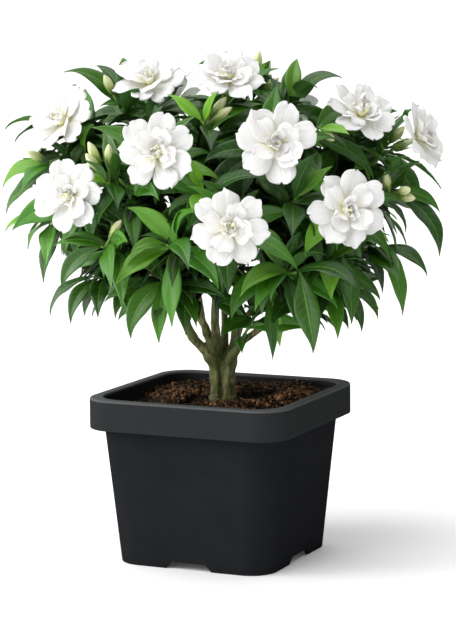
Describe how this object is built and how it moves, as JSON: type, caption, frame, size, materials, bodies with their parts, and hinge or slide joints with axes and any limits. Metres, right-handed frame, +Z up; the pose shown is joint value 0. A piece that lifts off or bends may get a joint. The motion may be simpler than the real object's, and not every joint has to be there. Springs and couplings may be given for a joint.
{
  "type": "potted gardenia",
  "caption": "Evergreen flowering shrub with white double blooms and glossy leaves, in a square black plastic nursery pot filled with soil.",
  "frame": {"origin": "centre of the pot's footprint, on the surface it stands on", "axes": "+Z up, X and Y along the pot's sides; the plant's front looks to -Y turned 24.6 degrees towards +X"},
  "size_m": [0.3924, 0.3616, 0.4669],
  "materials": {
    "pot_plastic": "satin black moulded plastic",
    "soil": "loose brown potting mix with fibres",
    "bark": "smooth green-brown bark",
    "leaf": "glossy deep green leaf",
    "petal": "soft white petal"
  },
  "bodies": {
    "root": {"pot": "pot_plastic", "soil": "soil", "wood": "bark", "bloom_01": "petal", "bloom_02": "petal", "bloom_03": "petal", "bloom_04": "petal", "bloom_05": "petal", "bloom_06": "petal", "bloom_07": "petal", "bloom_08": "petal", "bloom_09": "petal", "bloom_10": "petal", "bloom_11": "petal", "bloom_12": "petal", "bloom_13": "petal", "bloom_14": "petal", "bloom_15": "petal", "shoot_01": "leaf", "shoot_02": "leaf", "shoot_03": "leaf", "shoot_04": "leaf", "shoot_05": "leaf", "shoot_06": "leaf", "shoot_07": "leaf", "shoot_08": "leaf", "shoot_09": "leaf", "shoot_10": "leaf", "shoot_11": "leaf", "shoot_12": "leaf", "shoot_13": "leaf", "shoot_14": "leaf", "shoot_15": "leaf", "shoot_16": "leaf", "shoot_17": "leaf", "shoot_18": "leaf", "shoot_19": "leaf", "shoot_20": "leaf", "shoot_21": "leaf", "shoot_22": "leaf", "shoot_23": "leaf", "shoot_24": "leaf", "shoot_25": "leaf", "shoot_26": "leaf", "shoot_27": "leaf", "bloom_shoot_01": "leaf", "bloom_shoot_02": "leaf", "bloom_shoot_03": "leaf", "bloom_shoot_04": "leaf", "bloom_shoot_05": "leaf", "bloom_shoot_06": "leaf", "bloom_shoot_07": "leaf", "bloom_shoot_08": "leaf", "bloom_shoot_09": "leaf", "bloom_shoot_10": "leaf", "bloom_shoot_11": "leaf", "bloom_shoot_12": "leaf", "bloom_shoot_13": "leaf", "bloom_shoot_14": "leaf", "bloom_shoot_15": "leaf"}
  },
  "joints": []
}
